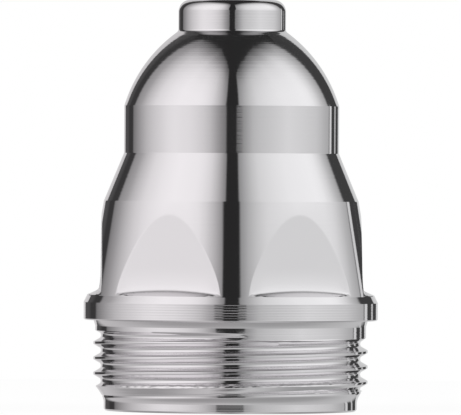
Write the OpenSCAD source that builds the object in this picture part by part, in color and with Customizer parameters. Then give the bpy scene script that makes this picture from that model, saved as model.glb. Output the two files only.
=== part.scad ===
// Nozzle of a plasma cutting torch: one turned, bored, milled and threaded piece of plated copper.
// It stands on its rear rim, and +Z runs along the axis to the tip.

/* [Rear end] */
// Diameter of the plain pilot behind the thread
pilot_d = 16.6; // [16.2:0.05:16.8]
// Length of the plain pilot
pilot_h = 0.65; // [0.4:0.05:1.2]
// Bevel at the pilot's rear edge
pilot_edge = 0.12; // [0.05:0.01:0.2]

/* [Screw thread] */
// Outer diameter of the right-hand thread, and of the plain collar in front of it
thread_d = 18; // [17.8:0.05:18.2]
// Distance from one crest to the next
thread_pitch = 1; // [0.75:0.05:1.25]
// Depth of the groove
thread_depth = 0.5; // [0.3:0.05:0.55]
// Angle between a flank and the middle of the groove, in degrees
thread_flank = 30; // [20:1:30]
// Height of the first crest on the +X side, which sets where the thread starts
thread_start = 0.93; // [0.5:0.01:1.5]
// Length of the hollow slope that leads from the pilot on to the thread
lead_in_h = 1; // [0.6:0.05:1.2]
// Length of the thread in front of the slope
thread_h = 3.6; // [2.5:0.05:6]
// Part of a turn over which the groove runs out
run_out = 0.28; // [0.1:0.01:0.5]
// Length of the plain collar between the thread and the flange
collar_h = 0.7; // [0.5:0.05:1.5]

/* [Flange] */
// Diameter of the flange
flange_d = 19.3; // [19:0.05:22]
// Thickness of the flange at its rim
flange_h = 1.15; // [0.8:0.05:2]
// Height of the bevel on the flange's front edge
flange_bevel_h = 0.45; // [0.2:0.05:0.8]
// Bevel on the flange's rear edge
flange_edge = 0.08; // [0.04:0.01:0.15]

/* [Skirt] */
// Diameter of the skirt where it stands on the flange
skirt_d = 18.86; // [18.2:0.02:19]
// Height of the skirt up to the waist
skirt_h = 6.2; // [5:0.1:8]
// Diameter at the waist, where the slope grows steeper
waist_d = 16.7; // [15.5:0.1:16.8]
// Height of the steep slope from the waist to the band
slope_h = 3.1; // [2:0.1:5]

/* [Wrench flats] */
// Distance across two opposite flats
across_flats = 17; // [16.8:0.05:17.2]
// Height of the ledge's rim above the flange's bevel
ledge_h = 0.1; // [0.05:0.01:0.3]
// Slope of the ledge that the flats end on, in degrees
ledge_slope = 18.5; // [10:0.5:30]
// Radius of the fillet between a flat and the ledge
ledge_fillet = 0.35; // [0.15:0.05:0.5]

/* [Nose] */
// Diameter of the straight band
band_d = 14.05; // [13.5:0.05:14.5]
// Height of the straight band
band_h = 3.3; // [2:0.1:5]
// Height of the dome from the band to the boss
dome_h = 4.73; // [4:0.01:5]
// Radius of the dome's arc in side view
dome_arc_r = 9.62; // [8.5:0.02:12]
// Diameter of the boss at the tip
boss_d = 7.05; // [6.5:0.05:7.5]
// Height of the boss
boss_h = 2.07; // [1.5:0.01:3]
// Radius of the boss's front edge
boss_edge_r = 0.8; // [0.3:0.05:1]
// Radius of the fillet at the foot of the boss
boss_foot_r = 0.25; // [0.1:0.05:0.4]

/* [Inside] */
// Diameter of the rear bore, which takes the gas ring
rear_bore_d = 13.5; // [12:0.1:14]
// Depth of the rear bore
rear_bore_h = 8; // [6:0.1:9]
// Bevel at the mouth of the rear bore
mouth_edge = 0.3; // [0.1:0.05:0.5]
// Diameter of the chamber round the electrode
chamber_d = 11; // [10:0.1:11.4]
// Length of the straight part of the chamber
chamber_h = 9; // [7:0.1:10]
// Length of the taper in front of the chamber
taper_h = 5.2; // [4.5:0.1:5.5]
// Diameter at the small end of the taper
throat_d = 5; // [4:0.1:6]
// Angle between the wall of the seat and the axis, in degrees
seat_slope = 60; // [50:1:65]
// Diameter of the arc orifice
orifice_d = 1.3; // [0.8:0.1:2]
// Bevel where the orifice leaves the tip
orifice_edge = 0.15; // [0.05:0.01:0.25]

/* [Hidden] */
$fn = 144;

// Overlap that keeps a cut from ending on the face it opens
cut_past = 1;
// How far a faceted surface sinks into the plain solid that it meets
sink = 0.01;
// How far the hidden side of a faceted piece lies inside the plain solid
bury = 0.2;

// Heights of the outline's corners, from the rear rim up
lead_in_z = pilot_h;
collar_z = lead_in_z + lead_in_h + thread_h;
flange_z = collar_z + collar_h;
bevel_z = flange_z + flange_h;
skirt_z = bevel_z + flange_bevel_h;
waist_z = skirt_z + skirt_h;
band_z = waist_z + slope_h;
dome_z = band_z + band_h;
boss_z = dome_z + dome_h;
tip_z = boss_z + boss_h;

// The thread's form across one pitch: height above a crest's middle, and share of the groove's depth
root_share = 0.92;
crest_w = thread_pitch / 8;
flank_w = root_share * thread_depth * tan(thread_flank);
thread_form = [
    [-crest_w / 2, 0],
    [crest_w / 2, 0],
    [crest_w / 2 + flank_w, root_share],
    [thread_pitch / 2, 1],
    [thread_pitch - crest_w / 2 - flank_w, root_share]
];
form_rows = len(thread_form);

// The thread is a faceted sleeve round a plain core, with this many steps to a turn
thread_steps = 60;
core_r = pilot_d / 2 - bury / 2;
sleeve_r = core_r - bury;
sleeve_low = lead_in_z - bury;
sleeve_high = flange_z + bury;
neck_r = pilot_d / 2 - sink;
neck_z = lead_in_z + sink;
// The rows keep this far from the sleeve's fixed edges
row_gap = 0.04;
// The lead-in rises as this power of the height, which hollows it
lead_in_power = 1.5;
rows_high = flange_z - row_gap;
last_row = form_rows * ceil(rows_high / thread_pitch + 1);
last_turn = (collar_z - thread_start) / thread_pitch + 0.5;

// The ledge's rim, and its height at the axis
ledge_z = skirt_z + ledge_h;
ledge_peak_z = ledge_z + skirt_d / 2 * tan(ledge_slope);
flat_count = 6;
flat_x = across_flats / 2;
// Half the width that a flat can reach, with the steps along its fillet and round the fillet's arc
flat_reach = sqrt(pow(skirt_d / 2, 2) - flat_x * flat_x) + 2 * bury;
fillet_steps = 12;
arc_steps = 5;

// Centre of the dome's arc, which runs from the band's edge to the boss
arc_start = [band_d / 2, dome_z];
arc_end = [boss_d / 2, boss_z];
arc_chord = arc_end - arc_start;
arc_rise = sqrt(dome_arc_r * dome_arc_r - arc_chord * arc_chord / 4);
arc_side = [arc_chord.y, -arc_chord.x] / norm(arc_chord);
arc_centre = (arc_start + arc_end) / 2 - arc_rise * arc_side;

// Centre of the fillet that blends the dome into the boss, and where it touches the dome
foot_x = boss_d / 2 + boss_foot_r;
foot_reach = dome_arc_r + boss_foot_r;
foot_z = arc_centre.y + sqrt(foot_reach * foot_reach - pow(foot_x - arc_centre.x, 2));
foot_touch = arc_centre + ([foot_x, foot_z] - arc_centre) * dome_arc_r / foot_reach;

// Heights of the cavity's corners
chamber_z = rear_bore_h;
taper_z = chamber_z + chamber_h;
throat_z = taper_z + taper_h;
orifice_z = throat_z + (throat_d - orifice_d) / 2 / tan(seat_slope);

module straight_sides() {
    polygon([
        [0, 0],
        [pilot_d / 2 - pilot_edge, 0],
        [pilot_d / 2, pilot_edge],
        [pilot_d / 2, lead_in_z],
        [core_r, lead_in_z],
        [core_r, flange_z],
        [flange_d / 2 - flange_edge, flange_z],
        [flange_d / 2, flange_z + flange_edge],
        [flange_d / 2, bevel_z],
        [skirt_d / 2, skirt_z],
        [waist_d / 2, waist_z],
        [band_d / 2, band_z],
        [band_d / 2, dome_z],
        [0, dome_z]
    ]);
}

module dome_side() {
    intersection() {
        translate(arc_centre) circle(dome_arc_r);
        translate([0, dome_z]) square([band_d / 2, dome_h]);
    }
}

module boss_foot_side() {
    difference() {
        polygon([
            [0, foot_touch.y],
            foot_touch,
            [foot_x, foot_z],
            [0, foot_z]
        ]);
        translate([foot_x, foot_z]) circle(boss_foot_r);
    }
}

module boss_side() {
    translate([0, boss_z]) square([boss_d / 2 - boss_edge_r, boss_h]);
    translate([0, boss_z]) square([boss_d / 2, boss_h - boss_edge_r]);
    translate([boss_d / 2 - boss_edge_r, tip_z - boss_edge_r]) circle(boss_edge_r);
}

module turned_body() {
    rotate_extrude() {
        straight_sides();
        dome_side();
        boss_foot_side();
        boss_side();
    }
}

// A row of the thread climbs one pitch a turn: its turns, height and radius at one step
function row_turns(row, step) = floor(row / form_rows) + step / thread_steps;
function row_form(row) = thread_form[row % form_rows];
function row_z(row, step) =
    thread_start + thread_pitch * (row_turns(row, step) - 1) + row_form(row).x;
function groove_share(turns) = max(0, min(1, (last_turn - turns) / run_out));
function groove_r(row, step) =
    thread_d / 2 - thread_depth * row_form(row).y * groove_share(row_turns(row, step));
function lead_in_r(z) = neck_r + (thread_d / 2 - neck_r) * pow((z - neck_z) / lead_in_h, lead_in_power);
function row_r(row, step) = min(groove_r(row, step), lead_in_r(row_z(row, step)));

// The sleeve's fixed edges, by number: three below the rows and two above them
function fixed_edge(row) =
    row == -3 ? [sleeve_r, sleeve_low] :
    row == -2 ? [neck_r, sleeve_low] :
    row == -1 ? [neck_r, neck_z] :
    row == last_row + 1 ? [thread_d / 2, sleeve_high] :
    row == last_row + 2 ? [sleeve_r, sleeve_high] :
    undef;
function is_on_sleeve(z) = z > neck_z + row_gap && z < rows_high;
function step_rows(step) = concat(
    [-3, -2, -1],
    [for (row = [0 : last_row]) if (is_on_sleeve(row_z(row, step))) row],
    [last_row + 1, last_row + 2]
);
sleeve_rows = [for (step = [0 : thread_steps - 1]) step_rows(step)];
sleeve_starts = [
    for (step = 0, s = 0; step < thread_steps; s = s + len(sleeve_rows[step]), step = step + 1) s
];

function sleeve_point(row, step) =
    let (edge = fixed_edge(row))
    let (side = edge == undef ? [row_r(row, step), row_z(row, step)] : edge)
    let (turn = step * 360 / thread_steps)
    [side.x * cos(turn), side.x * sin(turn), side.y];

// The rows of the next step. After a full turn each row goes on as the one a turn above it
function rows_after(step) =
    step < thread_steps - 1 ? sleeve_rows[step + 1] :
    [for (row = sleeve_rows[0]) row < 0 || row > last_row ? row : row - form_rows];

// Triangles that join two columns of points, matched by their row numbers
function column_faces(a, b, start_a, start_b) = [
    for (i = 0, j = 0;
         i < len(a) - 1 || j < len(b) - 1;
         gap = a[i + 1] - b[j + 1], i = gap > 0 ? i : i + 1, j = gap < 0 ? j : j + 1)
        let (gap = a[i + 1] - b[j + 1])
        each concat(
            gap > 0 ? [] : [[start_a + i, start_a + i + 1, start_b + j + (gap == 0 ? 1 : 0)]],
            gap < 0 ? [] : [[start_a + i, start_b + j + 1, start_b + j]]
        )
];

// The helical thread with its hollow lead-in below and the plain collar above
module screw_thread() {
    points = [
        for (step = [0 : thread_steps - 1])
            each [for (row = sleeve_rows[step]) sleeve_point(row, step)]
    ];
    faces = [
        for (step = [0 : thread_steps - 1])
            let (next = (step + 1) % thread_steps)
            let (low_a = sleeve_starts[step], low_b = sleeve_starts[next])
            let (high_a = low_a + len(sleeve_rows[step]) - 1)
            let (high_b = low_b + len(sleeve_rows[next]) - 1)
            each concat(
                column_faces(sleeve_rows[step], rows_after(step), low_a, low_b),
                [[low_a, low_b, high_b], [low_a, high_b, high_a]]
            )
    ];
    polyhedron(points, faces);
}

// Side view of the fillet at one place along a flat, with its back inside the flat and the ledge
function fillet_side(y) =
    let (reach = sqrt(flat_x * flat_x + y * y))
    let (corner_z = ledge_peak_z - reach * tan(ledge_slope))
    let (slope = atan(tan(ledge_slope) * flat_x / reach))
    let (centre = [
        flat_x - sink / 2 + ledge_fillet,
        corner_z - sink / 2 + ledge_fillet * (1 / cos(slope) - tan(slope))
    ])
    let (arc = [
        for (i = [0 : arc_steps])
            let (turn = 180 + i * (90 - slope) / arc_steps)
            centre + ledge_fillet * [cos(turn), sin(turn)]
    ])
    concat(
        [[flat_x - bury, centre.y]],
        arc,
        [[arc[arc_steps].x, corner_z - bury - ledge_fillet], [flat_x - bury, corner_z - bury - ledge_fillet]]
    );

// Fillet strip along the foot of the flat on the +X side
module flat_fillet() {
    sides = [
        for (i = [0 : fillet_steps])
            let (y = flat_reach * (2 * i / fillet_steps - 1))
            [for (p = fillet_side(y)) [p.x, y, p.y]]
    ];
    n = len(sides[0]);
    points = [for (side = sides) each side];
    walls = [
        for (i = [0 : fillet_steps - 1], k = [0 : n - 1])
            let (a = i * n + k, b = i * n + (k + 1) % n)
            each [[a, a + n, b + n], [a, b + n, b]]
    ];
    ends = [
        [for (k = [0 : n - 1]) k],
        [for (k = [n - 1 : -1 : 0]) fillet_steps * n + k]
    ];
    polyhedron(points, concat(walls, ends));
}

// Six milled flats, which stop on a ledge that slopes down to its rim
module wrench_flats() {
    difference() {
        for (i = [0 : flat_count - 1])
            rotate(i * 360 / flat_count)
                translate([flat_x, -skirt_d / 2, skirt_z])
                    cube([flange_d, skirt_d, slope_h + skirt_h]);
        cylinder(h = ledge_z, d = 2 * flange_d + skirt_d);
        translate([0, 0, ledge_z])
            cylinder(h = ledge_peak_z - ledge_z, r1 = skirt_d / 2, r2 = 0);
        for (i = [0 : flat_count - 1])
            rotate(i * 360 / flat_count) flat_fillet();
    }
}

// Rear bore, chamber, taper, conical seat and orifice, open at both ends
module cavity() {
    rotate_extrude()
        polygon([
            [0, -cut_past],
            [rear_bore_d / 2 + mouth_edge + cut_past, -cut_past],
            [rear_bore_d / 2, mouth_edge],
            [rear_bore_d / 2, chamber_z],
            [chamber_d / 2, chamber_z],
            [chamber_d / 2, taper_z],
            [throat_d / 2, throat_z],
            [orifice_d / 2, orifice_z],
            [orifice_d / 2, tip_z - orifice_edge],
            [orifice_d / 2 + orifice_edge + cut_past, tip_z + cut_past],
            [0, tip_z + cut_past]
        ]);
}

module nozzle() {
    color("silver")
        difference() {
            union() {
                turned_body();
                screw_thread();
            }
            wrench_flats();
            cavity();
        }
}

nozzle();
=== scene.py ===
import math

import bmesh
import bpy
import numpy as np
from mathutils import Euler, Matrix, Vector


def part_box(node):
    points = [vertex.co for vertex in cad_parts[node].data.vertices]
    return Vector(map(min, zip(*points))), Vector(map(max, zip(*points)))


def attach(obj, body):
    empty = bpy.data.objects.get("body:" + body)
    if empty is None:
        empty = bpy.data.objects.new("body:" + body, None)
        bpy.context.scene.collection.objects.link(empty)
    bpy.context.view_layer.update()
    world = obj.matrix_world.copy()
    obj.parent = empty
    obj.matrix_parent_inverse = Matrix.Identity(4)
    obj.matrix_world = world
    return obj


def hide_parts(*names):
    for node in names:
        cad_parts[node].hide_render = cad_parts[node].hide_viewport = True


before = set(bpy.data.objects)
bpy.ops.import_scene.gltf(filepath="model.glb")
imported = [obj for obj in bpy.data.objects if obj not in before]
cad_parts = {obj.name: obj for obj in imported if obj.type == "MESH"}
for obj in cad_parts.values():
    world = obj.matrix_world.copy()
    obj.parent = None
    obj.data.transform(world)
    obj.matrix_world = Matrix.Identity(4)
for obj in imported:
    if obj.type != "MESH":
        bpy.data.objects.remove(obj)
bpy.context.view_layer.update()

# Plasma torch nozzle: one turned, milled and threaded piece of copper, plated bright.
# Lengths are in millimetres and angles in degrees until a mesh or a node is made.
mm = 0.001
plainWhite = (1, 1, 1, 1)
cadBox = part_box("nozzle")
flangeR = cadBox[1].x / mm
tipZ = cadBox[1].z / mm

# Camera: a long lens a little above the middle of the nozzle, turned slightly as in the photograph
camera = {
    "turn": -1.5,
    "distance": 600,
    "height": 15.8,
    "aimHeight": 13.33,
    "aimSide": -0.05,
    "pictureWidth": 461 / 15.25,  # the picture's pixels, at 15.25 to the millimetre
    "roll": 0.3,
    "sensor": 36,
    "clipFrom": 10,
    "clipTo": 2400,
}


def makeCamera():
    data = bpy.data.cameras.new("camera")
    data.sensor_width = camera["sensor"]
    data.lens = camera["sensor"] * camera["distance"] / camera["pictureWidth"]
    data.clip_start = camera["clipFrom"] * mm
    data.clip_end = camera["clipTo"] * mm
    obj = bpy.data.objects.new("camera", data)
    around = Matrix.Rotation(math.radians(camera["turn"]), 3, "Z")
    obj.location = around @ Vector((0, -camera["distance"], camera["height"])) * mm
    aim = around @ Vector((camera["aimSide"], 0, camera["aimHeight"])) * mm - obj.location
    upright = aim.to_track_quat("-Z", "Y").to_matrix()
    roll = Euler((0, 0, math.radians(camera["roll"]))).to_matrix()
    obj.rotation_euler = (upright @ roll).to_euler()
    bpy.context.scene.collection.objects.link(obj)
    bpy.context.scene.camera = obj
    print("camera: done")


makeCamera()

# The round outline: radii and heights of its corners, and the small rounding of each edge
outline = {
    "pilotR": 8.3,
    "pilotH": 0.56,
    "pilotEdge": 0.12,
    "threadR": 9.0,
    "collarZ": 5.25,
    "collarR": 8.88,
    "neckZ": 5.55,  # from here the neck widens to the thread's radius under the flange
    "flangeZ": 5.95,
    "flangeH": 1.15,
    "flangeEdge": 0.08,
    "skirtZ": 7.55,
    "skirtR": 9.43,
    "waistZ": 13.75,
    "waistR": 8.35,
    "bandZ": 16.88,
    "bandR": 7.05,
    "domeZ": 19.98,
    "domeArc": 9.3,
    "bossZ": 24.88,
    "bossR": 3.525,
    "bossEdge": 0.8,
    "bossFoot": 0.25,
    "edgeRound": 0.04,
    "crownRound": 0.12,
    "domeSteps": 27,
    "footSteps": 6,
    "bossSteps": 12,
}

# How corners are rounded: steps of an arc, the most of a side that it takes, and what stays sharp
rounding = {
    "steps": 3,
    "sideMost": 0.45,
    "sharpBelow": 1e-4,
}


def roundedPath(corners):
    # Corners are (radius, height, rounding); the ends stay sharp
    path = [corners[0][:2]]
    for before, here, after in zip(corners, corners[1:], corners[2:]):
        p = np.array(here[:2], float)
        toBefore = np.array(before[:2]) - p
        toAfter = np.array(after[:2]) - p
        lengths = np.linalg.norm(toBefore), np.linalg.norm(toAfter)
        toBefore, toAfter = toBefore / lengths[0], toAfter / lengths[1]
        half = math.acos(max(-1, min(1, toBefore @ toAfter))) / 2
        cut = min(here[2] / math.tan(half), rounding["sideMost"] * min(lengths))
        if cut < rounding["sharpBelow"]:
            path.append(tuple(p))
            continue
        middle = p + (toBefore + toAfter) * cut / (2 * math.cos(half) ** 2)
        start, end = p + toBefore * cut - middle, p + toAfter * cut - middle
        sweep = math.pi - 2 * half
        for i in range(rounding["steps"] + 1):
            share = i / rounding["steps"]
            fromStart, toEnd = math.sin((1 - share) * sweep), math.sin(share * sweep)
            path.append(tuple(middle + (fromStart * start + toEnd * end) / math.sin(sweep)))
    path.append(corners[-1][:2])
    return path


def arcPoints(centre, radius, first, last, steps):
    # From one angle to another, in radians
    turns = np.linspace(first, last, steps + 1)
    return [centre + radius * np.array([math.cos(a), math.sin(a)]) for a in turns]


# Milled flats: across them, their ledge, and how many mesh columns each takes
flats = {
    "count": 6,
    "acrossHalf": 8.5,
    "ledgeH": 0.04,
    "ledgeSlope": 18.5,
    "ledgeRow": 0.15,  # share of the ledge at which its one row lies
    "fillet": 0.3,
    "filletSteps": 6,
    "filletTries": 3,
    "leanH": 1.6,  # a flat leans out below this height over the ledge
    "leanR": 8,  # radius of the lean's curve
    "leanSteps": 4,
    "leanFade": 9,  # degrees from a flat's side over which the lean grows
    "leanSide": 0.4,  # share of the lean at the side
    "edgeRound": 0.07,
    "edgeMost": 0.4,  # the most of a column's height that the rounding at its top takes
    "edgeRows": 3,  # roundings below the top at which the last straight row lies
    "edgeSink": 0.25,
    "halvings": 30,
    "closeBelow": 1e-6,
    "columns": 40,
    "columnsBetween": 8,
}


def skirtFall():
    # How much the skirt narrows per millimetre of height
    return (outline["skirtR"] - outline["waistR"]) / (outline["waistZ"] - outline["skirtZ"])


def skirtRadius(z):
    share = (z - outline["skirtZ"]) / (outline["waistZ"] - outline["skirtZ"])
    return outline["skirtR"] + share * (outline["waistR"] - outline["skirtR"])


def ledgeFall():
    # How much the ledge drops per millimetre outwards
    return math.tan(math.radians(flats["ledgeSlope"]))


def ledgePeak():
    # Where the ledge's cone would meet the axis
    return outline["skirtZ"] + flats["ledgeH"] + outline["skirtR"] * ledgeFall()


def rimPoint():
    # Where the ledge's cone cuts the skirt's cone
    fall, slope = skirtFall(), ledgeFall()
    r = (outline["skirtR"] - fall * (ledgePeak() - outline["skirtZ"])) / (1 - fall * slope)
    return r, ledgePeak() - r * slope


def flatReach():
    # Half the angle that a flat takes up at its foot
    return math.degrees(math.acos(flats["acrossHalf"] / rimPoint()[0]))


def columnAngles():
    # Azimuths of the mesh columns: finer on the flats, with a column on each of their corners
    foot = flats["acrossHalf"] + flats["leanSide"] * flats["leanH"] ** 2 / (2 * flats["leanR"])
    reach = math.degrees(math.acos(foot / rimPoint()[0]))
    sector = 360 / flats["count"]
    inFlat = np.linspace(-reach, reach, flats["columns"] + 1)
    between = np.linspace(reach, sector - reach, flats["columnsBetween"] + 1)[1:-1]
    steps = np.concatenate([inFlat, between])
    angles = np.concatenate([i * sector + steps for i in range(flats["count"])])
    return np.append(angles, angles[0] + 360)


# Inside, from the rear bore to the orifice
inside = {
    "boreR": 6.75,
    "boreH": 8,
    "mouthEdge": 0.3,
    "chamberR": 5.5,
    "taperZ": 17,
    "throatR": 2.5,
    "throatZ": 22.2,
    "seatSlope": 60,
    "orificeR": 0.65,
    "orificeEdge": 0.15,
    "cornerRound": 0.08,
}


def insideRows():
    # From the orifice down through the bore, over the rear rim and up the pilot
    seatH = (inside["throatR"] - inside["orificeR"]) / math.tan(math.radians(inside["seatSlope"]))
    small, corner = outline["edgeRound"], inside["cornerRound"]
    orificeTop = tipZ - inside["orificeEdge"]
    return roundedPath([
        (inside["orificeR"], orificeTop, 0),
        (inside["orificeR"], inside["throatZ"] + seatH, small),
        (inside["throatR"], inside["throatZ"], corner),
        (inside["chamberR"], inside["taperZ"], corner),
        (inside["chamberR"], inside["boreH"], small),
        (inside["boreR"], inside["boreH"], corner),
        (inside["boreR"], inside["mouthEdge"], small),
        (inside["boreR"] + inside["mouthEdge"], 0, small),
        (outline["pilotR"] - outline["pilotEdge"], 0, small / 2),
        (outline["pilotR"], outline["pilotEdge"], small / 2),
        (outline["pilotR"], outline["pilotH"], 0),
    ])


# Right-hand screw thread
thread = {
    "pitch": 1.0,
    "depth": 0.5,
    "flank": 30,
    "crest": 0.16,
    "rootShare": 0.92,  # depth at which a flank ends, as a share of the whole
    "crestRound": 0.05,
    "rootRound": 0.12,
    "start": 0.93,  # height of the first crest on the +X side
    "startSoft": 0.05,  # the first groove deepens over this height
    "leadInH": 1.2,
    "leadInPower": 1.6,  # more than 1 makes the cone hollow
    "leadInSteps": 5,
    "stepZ": 1.115,  # middle of the cone's small step
    "stepH": 0.13,
    "stepEdge": 0.1,  # share of the step between its edge and the row beside it
    "endTurn": 4.83,  # the groove runs out up to this turn, and stops climbing at holdZ
    "runOut": 0.25,
    "holdZ": 4.92,
    "holdMost": 0.35,
    "turnedDown": (4.62, 4.78),  # the top crest is turned down to the collar between these heights
    "featherTurns": (1.57, 1.92),  # the turns between which the first crest's upper edge is torn
    "featherSoft": 0.05,
    "featherWaves": 78,
    "featherMix": [(1, 1), (0.61, 0.6), (0.37, 0.4)],  # pace and part of each wave
    "featherMost": 1.5,
    "lipFrom": 0.03,  # height over the crest's middle from which the torn edge leans in
    "crestRows": (0.03, 0.05),  # rows on the crest and on its upper flank
    "lipRows": (0.1225, 0.15, 0.19),
    "lipLean": 0.3,
    "lipWave": 0.02,  # how far its rows wave up and down
    "lipWaver": 1.8,  # how much its lean varies
}


def threadForm():
    # Depth and height of each row over one pitch, from the middle of a crest to that of the next.
    # The rows in and over the crest give its torn edge small faces of its own.
    halfCrest, pitch = thread["crest"] / 2, thread["pitch"]
    foot = thread["rootShare"] * thread["depth"]
    widening = math.tan(math.radians(thread["flank"]))
    flankW = foot * widening
    crestRows = [(0, row, 0) for row in thread["crestRows"]]
    lipRows = [((row - halfCrest) / widening, row, 0) for row in thread["lipRows"]]
    crest = [(0, 0, 0)] + crestRows + [(0, halfCrest, thread["crestRound"])] + lipRows
    form = roundedPath(crest + [
        (foot, halfCrest + flankW, thread["rootRound"]),
        (thread["depth"], pitch / 2, thread["rootRound"]),
        (foot, pitch - halfCrest - flankW, thread["rootRound"]),
        (0, pitch - halfCrest, thread["crestRound"]),
        (0, pitch, 0),
    ])
    return form[:-1]


def leadInRadius(z):
    # A hollow cone from the pilot up to the first crest
    climb = np.clip((z - outline["pilotH"]) / thread["leadInH"], 0, 1) ** thread["leadInPower"]
    return outline["pilotR"] + (outline["threadR"] - outline["pilotR"]) * climb


def stepHeight(angles):
    # The cone's small step is tilted, so that in front it climbs like the thread
    return thread["stepZ"] + thread["pitch"] / (2 * math.pi) * np.cos(np.radians(angles))


def leadInRows(angles):
    # The lower half of the cone, up to and over its small step
    low = stepHeight(angles) - thread["stepH"] / 2
    rows = []
    for share in np.linspace(0, 1, thread["leadInSteps"] + 1)[1:]:
        z = outline["pilotH"] + (low - outline["pilotH"]) * share
        rows.append((leadInRadius(z), z))
    for share in (thread["stepEdge"], 1 - thread["stepEdge"], 1):
        rows.append((leadInRadius(low), low + thread["stepH"] * share))
    return rows


def feather(done):
    # The torn upper edge of the first crest: how much of it is there, and how it waves
    low, high = thread["featherTurns"]
    soft = thread["featherSoft"]
    torn = np.clip((done - low) / soft, 0, 1) * np.clip((high - done) / soft, 0, 1)
    turn = 2 * math.pi * done * thread["featherWaves"]
    wave = sum(part * np.sin(turn * pace) for pace, part in thread["featherMix"])
    return torn, wave / thread["featherMost"]


def threadRows(angles):
    # The rows climb with the helix. Below the step and above the collar's foot they close up.
    low, high = stepHeight(angles) + thread["stepH"] / 2, outline["collarZ"]
    threadR, collarR = outline["threadR"], outline["collarR"]
    halfCrest, pitch = thread["crest"] / 2, thread["pitch"]
    lipLow, lipHigh = thread["lipRows"][0], thread["lipRows"][-1]
    form = threadForm()
    turns = int(math.ceil(high / pitch)) + 2  # so that the last turn ends over the collar's foot
    rows = []
    for turn in range(-1, turns):
        done = turn + angles / 360
        fade = np.clip((thread["endTurn"] - done) / thread["runOut"], 0, 1)
        torn, wave = feather(done)
        crestZ = thread["start"] + pitch * (done - 1)
        # The last groove stops climbing where it runs out
        hold = np.clip(crestZ + pitch / 2 - thread["holdZ"], 0, thread["holdMost"])
        for depth, offset in form:
            onLip = offset <= lipHigh
            if onLip and offset >= lipLow:
                offset = offset + thread["lipWave"] * torn * wave
            z = crestZ + offset - hold * np.clip((offset - halfCrest) / (pitch / 2 - halfCrest), 0, 1)
            begun = np.clip((z - low) / thread["startSoft"], 0, 1)
            z = np.clip(z, low, high)
            groove = threadR - depth * fade * begun
            groove = np.minimum(groove, np.interp(z, thread["turnedDown"], [threadR, collarR]))
            cone = leadInRadius(z)
            if onLip:
                lipZ = np.minimum(z, crestZ + thread["lipFrom"])
                lean = thread["lipLean"] * (1 + thread["lipWaver"] * wave)
                cone = cone + (leadInRadius(lipZ) - lean * (z - lipZ) - cone) * torn
            rows.append((np.minimum(groove, cone), z))
    return rows


# Rings that the tool's point left on the flange's rim
rings = {
    "count": 6,
    "depth": 0.0065,
    "shoulder": 0.03,
    "steps": 6,
}


def flangeRows():
    # The collar, the neck, the flange with its rings, and the bevel up to the ledge's rim
    bottom = outline["flangeZ"]
    top = bottom + outline["flangeH"]
    edge, small = outline["flangeEdge"], outline["edgeRound"]
    ringLow, ringHigh = bottom + edge + rings["shoulder"], top - rings["shoulder"]
    under = roundedPath([
        (outline["collarR"], outline["collarZ"], 0),
        (outline["collarR"], outline["collarZ"] + small, 0),
        (outline["collarR"], outline["neckZ"], small),
        (outline["threadR"], bottom, small),
        (flangeR - edge, bottom, small),
        (flangeR, bottom + edge, small),
        (flangeR, ringLow, 0),
    ])
    waves = []
    for i in range(1, rings["count"] * rings["steps"]):
        share = i / (rings["count"] * rings["steps"])
        across = share * rings["count"] % 1
        dip = 4 * rings["depth"] * across * (1 - across)
        waves.append((flangeR - dip, ringLow + share * (ringHigh - ringLow)))
    over = roundedPath([
        (flangeR, ringHigh, 0),
        (flangeR, top, small),
        (outline["skirtR"], outline["skirtZ"], small),
        rimPoint() + (0,),
    ])
    return under + waves + over[:-1]


def blend(a, b, share):
    return tuple((1 - share) * p + share * q for p, q in zip(a, b))


def keepInside(point):
    r, z = point
    return min(r, skirtRadius(z)), z


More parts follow.
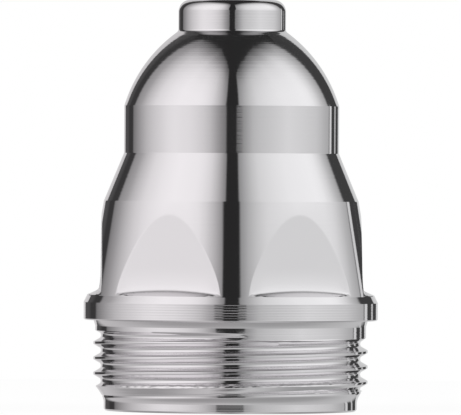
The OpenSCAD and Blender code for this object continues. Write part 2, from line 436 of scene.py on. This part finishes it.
def flatColumn(angle):
    # One column, from the ledge's rim over the fillet and the flat to where it runs out in the skirt.
    # Between two flats the column closes up in one point on the skirt.
    sector = 360 / flats["count"]
    across, fillet, slope = flats["acrossHalf"], flats["fillet"], ledgeFall()
    rimR, rimZ = rimPoint()
    offset = abs((angle + sector / 2) % sector - sector / 2)
    away = math.radians(offset)
    wallR = across / math.cos(away)
    cornerZ = ledgePeak() - wallR * slope
    inFrom = min(1, max(0, (flatReach() - offset) / flats["leanFade"]))
    bulge = flats["leanSide"] + (1 - flats["leanSide"]) * inFrom * inFrom * (3 - 2 * inFrom)

    def wallAt(z):
        # The flat leans out a little towards its foot, and less so at its sides
        lean = max(0, flats["leanH"] - (z - cornerZ)) ** 2 / (2 * flats["leanR"])
        return (across + lean * bulge) / math.cos(away)

    if wallAt(rimZ) > rimR - flats["closeBelow"]:
        # As many points as the path below has: two on the ledge, the fillet, the flat and its top
        return [(rimR, rimZ)] * (flats["filletSteps"] + flats["leanSteps"] + 7)
    lowZ, topZ = rimZ, outline["waistZ"]
    for _ in range(flats["halvings"]):
        middle = (lowZ + topZ) / 2
        if wallAt(middle) < skirtRadius(middle):
            lowZ = middle
        else:
            topZ = middle
    arc = []
    for i in range(flats["filletSteps"] + 1):
        # The ledge falls away outwards, so a point's height and its distance are found in a few tries
        y = across * math.tan(away)
        for _ in range(flats["filletTries"]):
            reach = math.hypot(across, y)
            lean = math.atan(slope * across / reach)
            turn = math.pi * 1.5 - lean - i / flats["filletSteps"] * (math.pi / 2 - lean)
            footZ = ledgePeak() - reach * slope
            middleZ = footZ + fillet * (1 / math.cos(lean) - math.tan(lean))
            x = across + fillet * (1 + math.cos(turn))
            y = x * math.tan(away)
        z = middleZ + fillet * math.sin(turn)
        arc.append((x / math.cos(away) + wallAt(z) - wallR, z))
    climb = across * math.sin(away) / math.cos(away) ** 2 / skirtFall() / wallR
    soft = min(flats["edgeRound"] * math.hypot(1, climb), flats["edgeMost"] * (topZ - rimZ))
    path = [(rimR, rimZ), blend((rimR, rimZ), arc[0], flats["ledgeRow"])]
    path += [keepInside(p) for p in arc]
    arcTop, edgeFrom = arc[-1][1], topZ - flats["edgeRows"] * soft
    leanTop = max(arcTop, min(edgeFrom, cornerZ + flats["leanH"]))
    steps = flats["leanSteps"]
    heights = [arcTop + (leanTop - arcTop) * (i + 1) / steps for i in range(steps)]
    heights += [max(arcTop, edgeFrom), max(arcTop, topZ - soft)]
    path += [keepInside((wallAt(z), z)) for z in heights]
    path.append((wallAt(topZ) - flats["edgeSink"] * soft * skirtFall(), topZ))
    path.append((skirtRadius(topZ + soft), topZ + soft))
    return path


def flatRows(angles):
    columns = [flatColumn(angle) for angle in angles]
    count = len(columns[0])
    return [tuple(np.array([[c[i][k] for c in columns] for k in (0, 1)])) for i in range(count)]


def domeCentre():
    start = np.array([outline["bandR"], outline["domeZ"]])
    end = np.array([outline["bossR"], outline["bossZ"]])
    chord = end - start
    rise = math.sqrt(outline["domeArc"] ** 2 - chord @ chord / 4)
    side = np.array([chord[1], -chord[0]]) / np.linalg.norm(chord)
    return (start + end) / 2 - rise * side


def noseRows():
    # From the ledge's rim over the waist, the band, the dome and the boss into the orifice
    soft, small = outline["crownRound"], outline["edgeRound"]
    arc, bossFoot, bossEdge = outline["domeArc"], outline["bossFoot"], outline["bossEdge"]
    centre = domeCentre()
    foot = np.array([outline["bossR"] + bossFoot, 0])
    foot[1] = centre[1] + math.sqrt((arc + bossFoot) ** 2 - (foot[0] - centre[0]) ** 2)
    first = math.asin((outline["domeZ"] - centre[1]) / arc)
    last = math.atan2(foot[1] - centre[1], foot[0] - centre[0])
    dome = arcPoints(centre, arc, first, last, outline["domeSteps"])
    lower = roundedPath([
        rimPoint() + (0,),
        (outline["waistR"], outline["waistZ"], soft),
        (outline["bandR"], outline["bandZ"], soft),
        (outline["bandR"], outline["domeZ"], small),
        tuple(dome[1]) + (0,),
    ])
    footArc = arcPoints(foot, bossFoot, last - math.pi, -math.pi, outline["footSteps"])
    corner = np.array([outline["bossR"] - bossEdge, tipZ - bossEdge])
    crown = arcPoints(corner, bossEdge, 0, math.pi / 2, outline["bossSteps"])
    tip = roundedPath([
        tuple(crown[-1]) + (0,),
        (inside["orificeR"] + inside["orificeEdge"], tipZ, small),
        (inside["orificeR"], tipZ - inside["orificeEdge"], 0),
    ])
    path = lower[1:-1] + dome[1:-1] + footArc + crown[:-1] + tip[:-1]
    return [tuple(p) for p in path]


# The skin's mesh: points closer than weld become one, and edges turn sharp at sharpFrom
skin = {
    "weld": 0.0004,
    "sharpFrom": 50,
}


def makeNozzle(materials):
    angles = columnAngles()
    ones = np.ones_like(angles)

    def turned(path):
        return [(r * ones, z * ones) for r, z in path]

    rows = turned(insideRows()) + leadInRows(angles) + threadRows(angles) + turned(flangeRows())
    milledFrom = len(rows) + 2  # the ledge's two rows belong to the turned surface
    rows += flatRows(angles)
    milledTo = len(rows) - 3  # and so does the rounding over a flat
    rows += turned(noseRows())
    turn = np.radians(angles)
    verts = []
    for r, z in rows:
        verts += list(zip(r * np.cos(turn) * mm, r * np.sin(turn) * mm, z * mm))
    width = len(angles)
    faces, finish = [], []
    for i in range(len(rows)):
        j = (i + 1) % len(rows)
        for c in range(width - 1):
            faces.append((i * width + c, i * width + c + 1, j * width + c + 1, j * width + c))
            finish.append(1 if milledFrom <= i < milledTo else 0)
    mesh = bpy.data.meshes.new("nozzleSkin")
    mesh.from_pydata(verts, [], faces)
    mesh.polygons.foreach_set("material_index", finish)
    obj = bpy.data.objects.new("nozzleSkin", mesh)
    bpy.context.scene.collection.objects.link(obj)
    for material in materials:
        mesh.materials.append(material)
    weldMesh(mesh)
    shading = obj.modifiers.new("edgeShading", "WEIGHTED_NORMAL")
    shading.keep_sharp = True
    triangles = sum(len(p.vertices) - 2 for p in mesh.polygons)
    print("nozzle:", len(mesh.vertices), "vertices,", triangles, "triangles")
    return obj


def weldMesh(mesh):
    # Closes up the rows that ran together, and turns every face outward
    bm = bmesh.new()
    bm.from_mesh(mesh)
    bmesh.ops.remove_doubles(bm, verts=bm.verts, dist=skin["weld"] * mm)
    bmesh.ops.dissolve_degenerate(bm, edges=bm.edges, dist=skin["weld"] * mm)
    bmesh.ops.recalc_face_normals(bm, faces=bm.faces)
    for face in bm.faces:
        face.smooth = True
    openEdges = sum(1 for e in bm.edges if len(e.link_faces) != 2)
    print("nozzle: open or shared edges", openEdges, "volume", bm.calc_volume(signed=True) / mm ** 3)
    bm.to_mesh(mesh)
    bm.free()
    mesh.set_sharp_from_angle(angle=math.radians(skin["sharpFrom"]))


def linear(hexColour):
    # sRGB hex to linear colour
    parts = [int(hexColour[i:i + 2], 16) / 255 for i in (0, 2, 4)]
    return tuple(p / 12.92 if p <= 0.04045 else ((p + 0.055) / 1.055) ** 2.4 for p in parts) + (1,)


def addNode(tree, kind, settings=None, inputs=None, stops=None):
    # Adds a node with its settings and sockets. A socket given as a node or an output is linked,
    # and a ramp's stops are places from 0 to 1, each with a level or a colour.
    node = tree.nodes.new("ShaderNode" + kind)
    for name, value in (settings or {}).items():
        setattr(node, name, value)
    for name, value in (inputs or {}).items():
        if isinstance(value, bpy.types.Node):
            value = value.outputs[0]
        if isinstance(value, bpy.types.NodeSocket):
            tree.links.new(value, node.inputs[name])
        else:
            node.inputs[name].default_value = value
    for i, (place, level) in enumerate(stops or []):
        elements = node.color_ramp.elements
        element = elements[i] if i < 2 else elements.new(place)
        element.position = place
        element.color = level if isinstance(level, tuple) else (level, level, level, 1)
    return node


def newTree(name):
    material = bpy.data.materials.new(name)
    material.use_nodes = True
    material.node_tree.nodes.clear()
    return material, material.node_tree


# Nickel-chrome plate. The turning marks are finer on the real one: they are drawn as coarse as the
# picture can show.
plating = {
    "colour": "e8e6e8",
    "roughness": 0.075,
    "anisotropy": 0.9,
    "shineTurn": 0.25,  # a quarter turn, so that the rings draw the shine out along the axis
    "markWidth": 0.17,  # from one turning mark to the next
    "markDepth": 0.02,
    "markDetail": 1.0,
    "markRoughness": 0.5,
    "marksFrom": [  # the height from which the marks have this strength
        (0, 0.1), (1.0, 0.8), (5.25, 0.1), (7.2, 0.07), (13.7, 0.1), (16.88, 0.1), (19.98, 0.1),
        (22.6, 0.15), (24.9, 0.25),
    ],
    "millRoughness": 0.2,
    "millWidth": 0.6,  # size of the flats' faint unevenness
    "millDepth": 0.002,
    "millDetail": 2.0,
    "millStrength": 0.3,
}


def brightPlating():
    # Bright plate on turned copper: a faintly rosy mirror, drawn out by the lathe's fine rings
    material, tree = newTree("brightPlating")
    place = addNode(tree, "TexCoord")
    parts = addNode(tree, "SeparateXYZ", None, {"Vector": place.outputs["Object"]})
    marks = addNode(tree, "TexNoise", {"noise_dimensions": "1D"}, {
        "W": parts.outputs["Z"], "Scale": 1 / (plating["markWidth"] * mm),
        "Detail": plating["markDetail"], "Roughness": plating["markRoughness"]})
    share = addNode(tree, "MapRange", None, {"Value": parts.outputs["Z"], "From Max": tipZ * mm})
    zones = addNode(tree, "ValToRGB", None, {"Fac": share}, [
        (z / tipZ, level) for z, level in plating["marksFrom"]])
    zones.color_ramp.interpolation = "CONSTANT"
    bump = addNode(tree, "Bump", None, {
        "Strength": zones, "Distance": plating["markDepth"] * mm, "Height": marks.outputs["Fac"]})
    tangent = addNode(tree, "Tangent", {"direction_type": "RADIAL", "axis": "Z"})
    shader = addNode(tree, "BsdfPrincipled", None, {
        "Base Color": linear(plating["colour"]), "Metallic": 1.0, "Roughness": plating["roughness"],
        "Anisotropic": plating["anisotropy"], "Anisotropic Rotation": plating["shineTurn"],
        "Normal": bump, "Tangent": tangent})
    addNode(tree, "OutputMaterial", None, {"Surface": shader})
    return material


def milledPlating():
    # The same plate on the milled flats: even and a little softer, with no rings
    material, tree = newTree("milledPlating")
    place = addNode(tree, "TexCoord")
    marks = addNode(tree, "TexNoise", None, {
        "Vector": place.outputs["Object"], "Scale": 1 / (plating["millWidth"] * mm),
        "Detail": plating["millDetail"]})
    bump = addNode(tree, "Bump", None, {
        "Strength": plating["millStrength"], "Distance": plating["millDepth"] * mm,
        "Height": marks.outputs["Fac"]})
    shader = addNode(tree, "BsdfPrincipled", None, {
        "Base Color": linear(plating["colour"]), "Metallic": 1.0,
        "Roughness": plating["millRoughness"], "Normal": bump})
    addNode(tree, "OutputMaterial", None, {"Surface": shader})
    return material


nozzle = makeNozzle([brightPlating(), milledPlating()])
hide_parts("nozzle")
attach(nozzle, "root")

# Studio: a light tent in two halves round the nozzle, with a slot for the camera between them, dark
# screens towards the back, the white background behind and the pale table below.
# Sides are degrees from the camera, to the left (minus) and to the right. Heights are degrees.
studio = {
    "around": [  # the upper part of the tent: side and level
        (-158, 0.085), (-148, 0.08), (-142, 0.045), (-133, 0.045), (-130.5, 0.32), (-120, 0.41),
        (-112, 0.58), (-96, 0.86), (-80, 0.99), (-64, 1.06), (-40, 1.04), (-32, 0.98), (-24, 0.86),
        (-16, 0.62), (-8, 0.34), (0, 0.25), (8, 0.33), (16, 0.54), (24, 0.7), (32, 0.83), (48, 0.93),
        (64, 1.0), (96, 1.05), (104, 1.0), (112, 0.84), (120, 0.62), (129, 0.42), (131.5, 0.055),
        (158, 0.055),
    ],
    "near": [  # the lower part, which gives way to the upper one between the nearTop heights
        (-158, 0.085), (-148, 0.08), (-142, 0.045), (-133, 0.045), (-130.5, 0.2), (-116, 0.39),
        (-103, 0.57), (-92, 0.69), (-82, 0.78), (-72, 0.88), (-63, 0.92), (-46, 0.87), (-38, 0.8),
        (-30, 0.71), (-23, 0.585), (-15, 0.375), (-8, 0.24), (0, 0.2), (8, 0.24), (15, 0.37),
        (23, 0.55), (30, 0.61), (46, 0.7), (63, 0.8), (82, 0.745), (103, 0.66), (120, 0.52),
        (128, 0.47), (130, 0.055), (158, 0.055),
    ],
    "nearTop": (-2, 25),
    "upward": [  # how the tent darkens upwards: height and share
        (-90, 1.0), (40, 1.0), (50, 0.95), (60, 0.83), (66, 0.66), (70, 0.47), (75, 0.26), (80, 0.1),
        (86, 0.03), (90, 0.03),
    ],
    "lower": [  # side, and by how many degrees it darkens lower there
        (-180, 12), (-120, 4), (-96, 3), (-64, 0), (-40, 2), (-16, 4.5), (0, 9), (16, 10), (24, 7.5),
        (40, 4.5), (64, 3), (96, 6.5), (112, 11), (180, 12),
    ],
    "brim": [  # the tent's upper edge: side and height
        (-180, 50), (-134, 54), (-131, 62), (-121.6, 71), (-111.6, 77), (-90, 80), (-70, 81.5),
        (-40, 79.5), (-17, 74.6), (-6.6, 66.7), (7, 59.7), (13, 66.5), (25, 72), (58, 76), (80, 76),
        (106, 73.6), (119, 67.7), (127, 60.7), (132, 51), (180, 50),
    ],
    "brimSoft": 0.8,
    "slot": [  # height, and the slot's left and right side
        (-90, -14, 13), (-1.1, -12.5, 12), (-0.3, -5.2, 5.1), (20, -7.6, 8), (46, -6, 8.3),
        (90, -6, 7.2),
    ],
    "slotSoft": 2.5,  # degrees over which an edge fades, here and below
    "dark": 0.025,
    "table": [  # height and level
        (-90, 0.1), (-86, 0.3), (-81, 0.62), (-74, 0.57), (-65, 0.44), (-56, 0.36), (-46, 0.36),
        (-36, 0.41), (-28, 0.52), (-20, 0.58),
    ],
    "tableTop": (-14, -7),
    "backFrom": [(-90, 161), (3, 161), (8, 156), (90, 156)],  # height, and the side it begins at
    "backSoft": 2,
    "background": [(-90, 0.7), (3, 0.7), (8, 0.64), (45, 0.64), (50, 0.0)],  # height and level
    "strips": [(133, 3.5, 12, 0.72), (147, 3, 3, 0.6)],  # side, half width, top and level
    "stripSoft": 6,
    "leftTint": "fffdfe",
    "rightTint": "feffff",
    "tintSides": (-10, 10),
}


def sideShare(degrees):
    return (degrees + 180) / 360


def heightShare(degrees):
    return (degrees + 90) / 180


def rampStops(pairs, place, whole=1):
    # A ramp's stops from pairs of a place in degrees and a value
    return [(place(degrees), value / whole) for degrees, value in pairs]


def makeWorld():
    world = bpy.data.worlds.new("studio")
    bpy.context.scene.world = world
    world.use_nodes = True
    tree = world.node_tree
    tree.nodes.clear()
    peak = max(level for _, level in studio["around"])
    smooth = {"interpolation_type": "SMOOTHSTEP"}
    place = addNode(tree, "TexCoord")
    parts = addNode(tree, "SeparateXYZ", None, {"Vector": place.outputs["Generated"]})
    front = addNode(tree, "Math", {"operation": "MULTIPLY"}, {0: parts.outputs["Y"], 1: -1.0})
    turn = addNode(tree, "Math", {"operation": "ARCTAN2"}, {0: parts.outputs["X"], 1: front})
    rise = addNode(tree, "Math", {"operation": "ARCSINE"}, {0: parts.outputs["Z"]})
    offset = math.radians(camera["turn"])
    side = addNode(tree, "MapRange", None, {
        "Value": turn, "From Min": offset - math.pi, "From Max": offset + math.pi})
    height = addNode(tree, "MapRange", None, {
        "Value": rise, "From Min": -math.pi / 2, "From Max": math.pi / 2})

    # The two halves of the tent; they darken upwards, and at some sides lower than at others
    around = addNode(tree, "ValToRGB", None, {"Fac": side}, rampStops(
        studio["around"], sideShare, peak))
    near = addNode(tree, "ValToRGB", None, {"Fac": side}, rampStops(
        studio["near"], sideShare, peak))
    low, high = studio["nearTop"]
    above = addNode(tree, "MapRange", smooth, {
        "Value": height, "From Min": heightShare(low), "From Max": heightShare(high)})
    sides = addNode(tree, "Mix", {"data_type": "FLOAT"}, {0: above, 2: near, 3: around})
    lower = addNode(tree, "ValToRGB", None, {"Fac": side}, rampStops(
        studio["lower"], sideShare, 180))
    raised = addNode(tree, "Math", {"operation": "ADD"}, {0: height, 1: lower})
    upward = addNode(tree, "ValToRGB", None, {"Fac": raised}, rampStops(
        studio["upward"], heightShare))
    tent = addNode(tree, "Math", {"operation": "MULTIPLY"}, {0: sides, 1: upward})

    # The slot between them
    left = addNode(tree, "ValToRGB", None, {"Fac": height}, [
        (heightShare(h), sideShare(a)) for h, a, _ in studio["slot"]])
    right = addNode(tree, "ValToRGB", None, {"Fac": height}, [
        (heightShare(h), sideShare(a)) for h, _, a in studio["slot"]])
    pastLeft = addNode(tree, "Math", {"operation": "SUBTRACT"}, {0: left, 1: side})
    pastRight = addNode(tree, "Math", {"operation": "SUBTRACT"}, {0: side, 1: right})
    past = addNode(tree, "Math", {"operation": "MAXIMUM"}, {0: pastLeft, 1: pastRight})
    soft = studio["slotSoft"] / 360
    gate = addNode(tree, "MapRange", smooth, {
        "Value": past, "From Min": -soft / 2, "From Max": soft / 2})

    # The tent's brim, and the dark over it
    brim = addNode(tree, "ValToRGB", None, {"Fac": side}, [
        (sideShare(a), heightShare(h)) for a, h in studio["brim"]])
    over = addNode(tree, "Math", {"operation": "SUBTRACT"}, {0: height, 1: brim})
    soft = studio["brimSoft"] / 180
    covered = addNode(tree, "MapRange", smooth, {
        "Value": over, "From Min": soft / 2, "From Max": -soft / 2})
    lit = addNode(tree, "Math", {"operation": "MULTIPLY"}, {0: gate, 1: covered})
    level = addNode(tree, "Mix", {"data_type": "FLOAT"}, {0: lit, 2: studio["dark"] / peak, 3: tent})

    # Narrow gaps of light between the dark screens on the right
    soft = studio["stripSoft"] / 2
    for angle, half, top, strength in studio["strips"]:
        off = addNode(tree, "Math", {"operation": "SUBTRACT"}, {0: side, 1: sideShare(angle)})
        away = addNode(tree, "Math", {"operation": "ABSOLUTE"}, {0: off})
        beside = addNode(tree, "MapRange", smooth, {
            "Value": away, "From Min": half / 360, "From Max": half / 360 / 2})
        under = addNode(tree, "MapRange", smooth, {
            "Value": height, "From Min": heightShare(top + soft), "From Max": heightShare(top - soft),
            "To Max": strength / peak})
        strip = addNode(tree, "Math", {"operation": "MULTIPLY"}, {0: beside, 1: under})
        level = addNode(tree, "Math", {"operation": "MAXIMUM"}, {0: level, 1: strip})

    # The background behind the nozzle, and the table below all of it
    centred = addNode(tree, "Math", {"operation": "SUBTRACT"}, {0: side, 1: sideShare(0)})
    away = addNode(tree, "Math", {"operation": "ABSOLUTE"}, {0: centred})
    edge = addNode(tree, "ValToRGB", None, {"Fac": height}, rampStops(
        studio["backFrom"], heightShare, 360))
    beyond = addNode(tree, "Math", {"operation": "SUBTRACT"}, {0: away, 1: edge})
    soft = studio["backSoft"] / 360
    behind = addNode(tree, "MapRange", smooth, {
        "Value": beyond, "From Min": -soft / 2, "From Max": soft / 2})
    backing = addNode(tree, "ValToRGB", None, {"Fac": height}, rampStops(
        studio["background"], heightShare, peak))
    back = addNode(tree, "Math", {"operation": "MULTIPLY"}, {0: behind, 1: backing})
    level = addNode(tree, "Math", {"operation": "MAXIMUM"}, {0: level, 1: back})
    table = addNode(tree, "ValToRGB", None, {"Fac": height}, rampStops(
        studio["table"], heightShare, peak))
    low, high = studio["tableTop"]
    onTable = addNode(tree, "MapRange", smooth, {
        "Value": height, "From Min": heightShare(high), "From Max": heightShare(low)})
    level = addNode(tree, "Mix", {"data_type": "FLOAT"}, {0: onTable, 2: level, 3: table})

    # The camera sees plain white. The metal mirrors the tent, the background and the table.
    strength = addNode(tree, "Math", {"operation": "MULTIPLY"}, {0: level, 1: peak})
    low, high = studio["tintSides"]
    tint = addNode(tree, "ValToRGB", None, {"Fac": side}, [
        (sideShare(low), linear(studio["leftTint"])), (sideShare(high), linear(studio["rightTint"]))])
    glow = addNode(tree, "Background", None, {"Color": tint, "Strength": strength})
    white = addNode(tree, "Background", None, {"Color": plainWhite, "Strength": 1.0})
    path = addNode(tree, "LightPath")
    mix = addNode(tree, "MixShader", None, {0: path.outputs["Is Camera Ray"], 1: glow, 2: white})
    addNode(tree, "OutputWorld", None, {"Surface": mix})
    print("studio: done")


makeWorld()

# Two soft lamps, which the metal doesn't mirror: they give the floor its light and the soft shadow
lamps = {
    "left": {"place": (-260, -200, 330), "size": 220, "power": 0.9},
    "right": {"place": (280, -120, 300), "size": 220, "power": 0.6},
}


def makeLamps():
    for name, lamp in lamps.items():
        data = bpy.data.lights.new(name, "AREA")
        data.size = lamp["size"] * mm
        data.energy = lamp["power"]
        obj = bpy.data.objects.new(name, data)
        obj.location = Vector(lamp["place"]) * mm
        obj.rotation_euler = (-obj.location).to_track_quat("-Z", "Y").to_euler()
        obj.visible_glossy = False
        bpy.context.scene.collection.objects.link(obj)
    print("lamps: done")


makeLamps()

# Table of matt painted board, pale and without gloss. The camera sees it mostly as plain white, and
# the rest of it takes the shadow.
floorLook = {
    "radius": 90,
    "sides": 96,
    "colour": "f4f4f4",
    "plainShare": 0.94,
}


def makeFloor():
    # The metal looks through it and mirrors the studio's table instead
    material, tree = newTree("mattPaint")
    path = addNode(tree, "LightPath")
    pale = addNode(tree, "BsdfDiffuse", None, {"Color": linear(floorLook["colour"])})
    white = addNode(tree, "Emission", None, {"Color": plainWhite, "Strength": 1.0})
    clear = addNode(tree, "BsdfTransparent")
    share = addNode(tree, "Math", {"operation": "MULTIPLY"}, {
        0: path.outputs["Is Camera Ray"], 1: floorLook["plainShare"]})
    seen = addNode(tree, "MixShader", None, {0: share, 1: pale, 2: white})
    mix = addNode(tree, "MixShader", None, {0: path.outputs["Is Glossy Ray"], 1: seen, 2: clear})
    addNode(tree, "OutputMaterial", None, {"Surface": mix})
    bpy.ops.mesh.primitive_circle_add(
        vertices=floorLook["sides"], radius=floorLook["radius"] * mm, fill_type="NGON")
    floor = bpy.context.object
    floor.name = "floor"
    floor.data.materials.append(material)
    print("floor: done")


makeFloor()

bpy.context.scene.view_settings.view_transform = "Standard"
